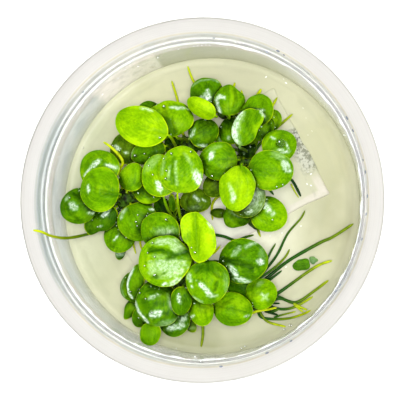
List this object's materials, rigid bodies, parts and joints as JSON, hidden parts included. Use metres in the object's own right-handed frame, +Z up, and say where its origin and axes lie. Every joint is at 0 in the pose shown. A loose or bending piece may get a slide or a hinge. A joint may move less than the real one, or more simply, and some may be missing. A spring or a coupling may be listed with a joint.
{
  "type": "anubias",
  "caption": "Clump of small round-leaved anubias plantlets growing on a bed of clear gel in an open, round, see-through culture cup.",
  "frame": {"origin": "middle of the underside of the cup", "axes": "+Z up out of the cup's mouth, +X towards the side with the long roots, +Y towards the side with the two thin roots"},
  "size_m": [0.09, 0.09, 0.043],
  "materials": {
    "cup_plastic": "clear, smooth",
    "gel": "translucent, wet",
    "rhizome_and_roots": "wet",
    "leaf_lime": "wet, glossy",
    "leaf_mid": "wet, glossy",
    "leaf_dark": "wet, glossy"
  },
  "bodies": {
    "root": {"cup": "cup_plastic", "gel": "gel", "rhizome_north": "rhizome_and_roots", "rhizome_west": "rhizome_and_roots", "rhizome_east": "rhizome_and_roots", "rhizome_middle": "rhizome_and_roots", "rhizome_south_east": "rhizome_and_roots", "leaf_01": "leaf_lime", "leaf_02": "leaf_mid", "leaf_03": "leaf_dark", "leaf_04": "leaf_lime", "leaf_05": "leaf_dark", "leaf_06": "leaf_dark", "leaf_07": "leaf_dark", "leaf_08": "leaf_mid", "leaf_09": "leaf_mid", "leaf_10": "leaf_mid", "leaf_11": "leaf_dark", "leaf_12": "leaf_lime", "leaf_13": "leaf_lime", "leaf_14": "leaf_lime", "leaf_15": "leaf_dark", "leaf_16": "leaf_mid", "leaf_17": "leaf_mid", "leaf_18": "leaf_mid", "leaf_19": "leaf_dark", "leaf_20": "leaf_dark", "leaf_21": "leaf_mid", "leaf_22": "leaf_mid", "leaf_23": "leaf_mid", "leaf_24": "leaf_lime", "leaf_25": "leaf_dark", "leaf_26": "leaf_dark", "leaf_27": "leaf_mid", "leaf_28": "leaf_dark", "leaf_29": "leaf_dark", "leaf_30": "leaf_dark", "leaf_31": "leaf_lime", "leaf_32": "leaf_dark", "leaf_33": "leaf_mid", "leaf_34": "leaf_mid", "leaf_35": "leaf_mid", "leaf_36": "leaf_lime", "leaf_37": "leaf_dark", "leaf_38": "leaf_dark", "leaf_39": "leaf_dark", "leaf_40": "leaf_mid", "leaf_41": "leaf_lime", "leaf_42": "leaf_mid", "leaf_43": "leaf_mid", "leaf_44": "leaf_dark", "leaf_45": "leaf_dark", "leaf_46": "leaf_dark", "leaf_47": "leaf_dark", "leaf_48": "leaf_dark", "leaf_49": "leaf_mid", "leaf_50": "leaf_dark", "leaf_fragment_large": "leaf_dark", "leaf_fragment_small": "leaf_dark"}
  },
  "joints": []
}
